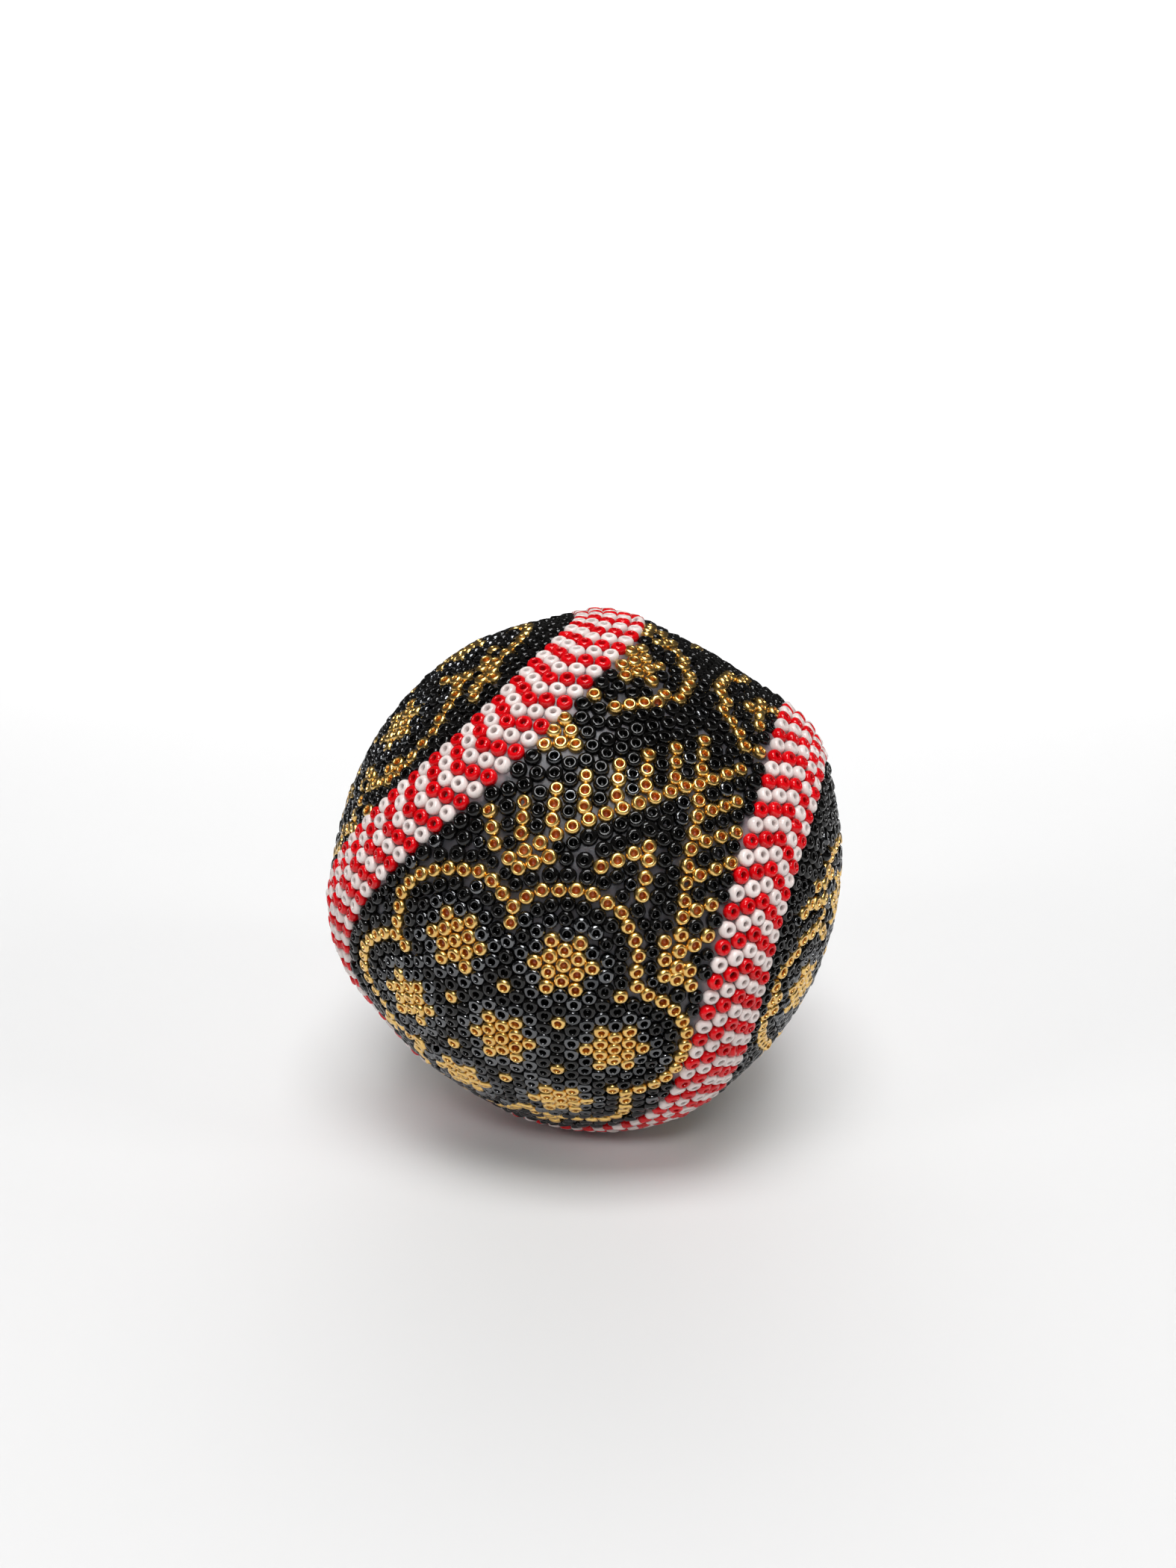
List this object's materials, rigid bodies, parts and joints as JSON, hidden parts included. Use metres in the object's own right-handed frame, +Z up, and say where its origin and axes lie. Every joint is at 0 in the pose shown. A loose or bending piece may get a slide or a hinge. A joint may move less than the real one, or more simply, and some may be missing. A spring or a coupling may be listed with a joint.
{
  "type": "beaded ball",
  "caption": "Baseball coated in wax and set all over with glass seed beads: a chevron band along the seam, gold flowers on black.",
  "frame": {"origin": "the ball's centre, which is its centroid", "axes": "+Z up as the ball lies on a table, -Y towards the viewer who faces the lobe with the flower field, +X to that viewer's right"},
  "size_m": [0.079, 0.079, 0.0809],
  "materials": {
    "cork": "ground cork",
    "black_rubber": "moulded",
    "red_rubber": "moulded",
    "grey_wool": "tightly wound wool yarn",
    "white_wool": "tightly wound wool yarn",
    "cotton": "tightly wound cotton thread",
    "leather": "smooth alum-tanned",
    "red_thread": "waxed thread",
    "beeswax": "beeswax and resin, hand-pressed",
    "red_white_beads": "opaque glossy red and white glass seed beads in rows",
    "black_beads": "opaque glossy jet and hematite glass seed beads",
    "gold_beads": "glass seed beads with a metallic gold coat"
  },
  "bodies": {
    "root": {"cork_core": "cork", "black_rubber_upper": "black_rubber", "black_rubber_lower": "black_rubber", "red_rubber_upper": "red_rubber", "red_rubber_lower": "red_rubber", "rubber_gasket": "red_rubber", "winding_1": "grey_wool", "winding_2": "white_wool", "winding_3": "grey_wool", "winding_4": "cotton", "leather_panel_a": "leather", "leather_panel_b": "leather", "lacing_thread": "red_thread", "wax_bed_a": "beeswax", "wax_bed_b": "beeswax", "wax_ridge": "beeswax", "seam_band_beads": "red_white_beads", "waist_field_a": "black_beads", "waist_field_b": "black_beads", "flower_field_a1": "black_beads", "gold_border_a1": "gold_beads", "gold_flower_a1_1": "gold_beads", "gold_flower_a1_2": "gold_beads", "gold_flower_a1_3": "gold_beads", "gold_flower_a1_4": "gold_beads", "gold_flower_a1_5": "gold_beads", "gold_flower_a1_6": "gold_beads", "gold_flower_a1_7": "gold_beads", "flower_field_a2": "black_beads", "gold_border_a2": "gold_beads", "gold_flower_a2_1": "gold_beads", "gold_flower_a2_2": "gold_beads", "gold_flower_a2_3": "gold_beads", "gold_flower_a2_4": "gold_beads", "gold_flower_a2_5": "gold_beads", "gold_flower_a2_6": "gold_beads", "gold_flower_a2_7": "gold_beads", "flower_field_b1": "black_beads", "gold_border_b1": "gold_beads", "gold_flower_b1_1": "gold_beads", "gold_flower_b1_2": "gold_beads", "gold_flower_b1_3": "gold_beads", "gold_flower_b1_4": "gold_beads", "gold_flower_b1_5": "gold_beads", "gold_flower_b1_6": "gold_beads", "gold_flower_b1_7": "gold_beads", "flower_field_b2": "black_beads", "gold_border_b2": "gold_beads", "gold_flower_b2_1": "gold_beads", "gold_flower_b2_2": "gold_beads", "gold_flower_b2_3": "gold_beads", "gold_flower_b2_4": "gold_beads", "gold_flower_b2_5": "gold_beads", "gold_flower_b2_6": "gold_beads", "gold_flower_b2_7": "gold_beads"}
  },
  "joints": []
}
